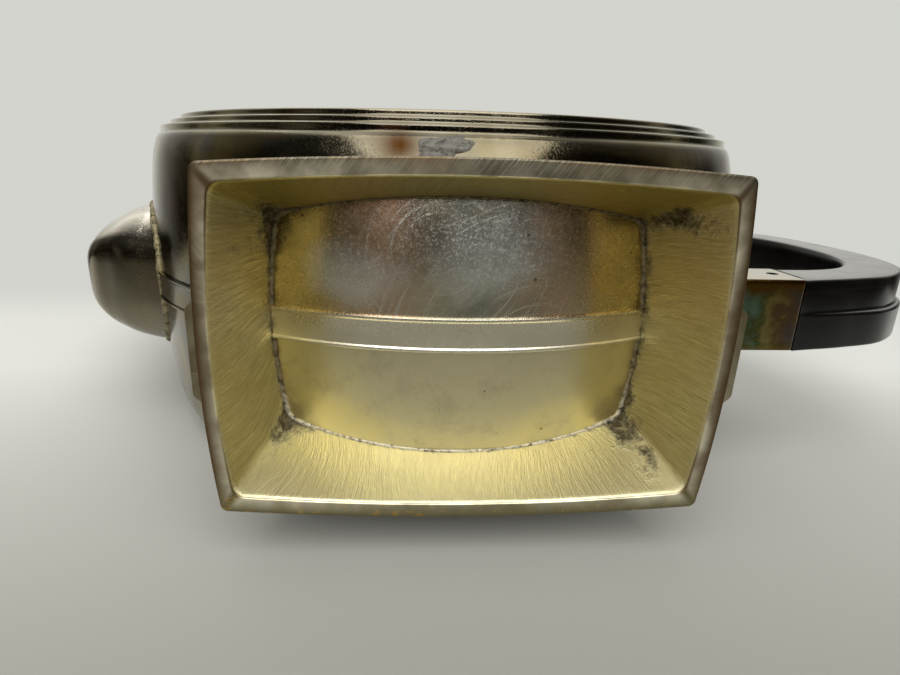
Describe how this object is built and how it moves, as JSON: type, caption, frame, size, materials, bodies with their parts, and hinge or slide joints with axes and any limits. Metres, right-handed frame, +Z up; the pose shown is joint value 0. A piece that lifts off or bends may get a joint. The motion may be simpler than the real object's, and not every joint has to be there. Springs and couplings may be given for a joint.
{
  "type": "teapot",
  "caption": "Drum-shaped silver teapot on a hollow flared foot, with a beak spout, a flat black loop handle and a hinged lid.",
  "frame": {"origin": "on the table under the middle of the drum, inside the open foot", "axes": "+Z up, drum axis along Y, spout towards -X, handle towards +X"},
  "size_m": [0.22, 0.0724, 0.1802],
  "materials": {
    "silver": "polished",
    "worn_silver": "satin",
    "black_resin": "satin",
    "steel": "satin",
    "solder": "rough"
  },
  "bodies": {
    "pot": {"front_pan": "silver", "back_pan": "silver", "centre_strap": "silver", "foot": "worn_silver", "foot_rib_handle_side": "worn_silver", "foot_rib_spout_side": "worn_silver", "spout": "silver", "strainer": "silver", "lower_handle_socket": "silver", "upper_handle_socket": "silver", "handle": "black_resin", "handle_pins": "silver", "mouth_frame": "silver", "hinge_body_leaf": "silver", "hinge_pin": "steel", "solder_patch": "solder"},
    "lid": {"lid": "silver", "lid_flange": "silver", "hinge_lid_leaf": "silver", "finial_base": "silver", "finial": "black_resin", "finial_stud": "steel", "finial_washer": "steel", "finial_nut": "steel"}
  },
  "joints": [
    {"name": "lid_hinge", "type": "hinge", "parent": "pot", "child": "lid", "pos_m": [0.0333, 0, 0.15576], "axis": [0, 1, 0], "range_deg": [0, 100]}
  ]
}
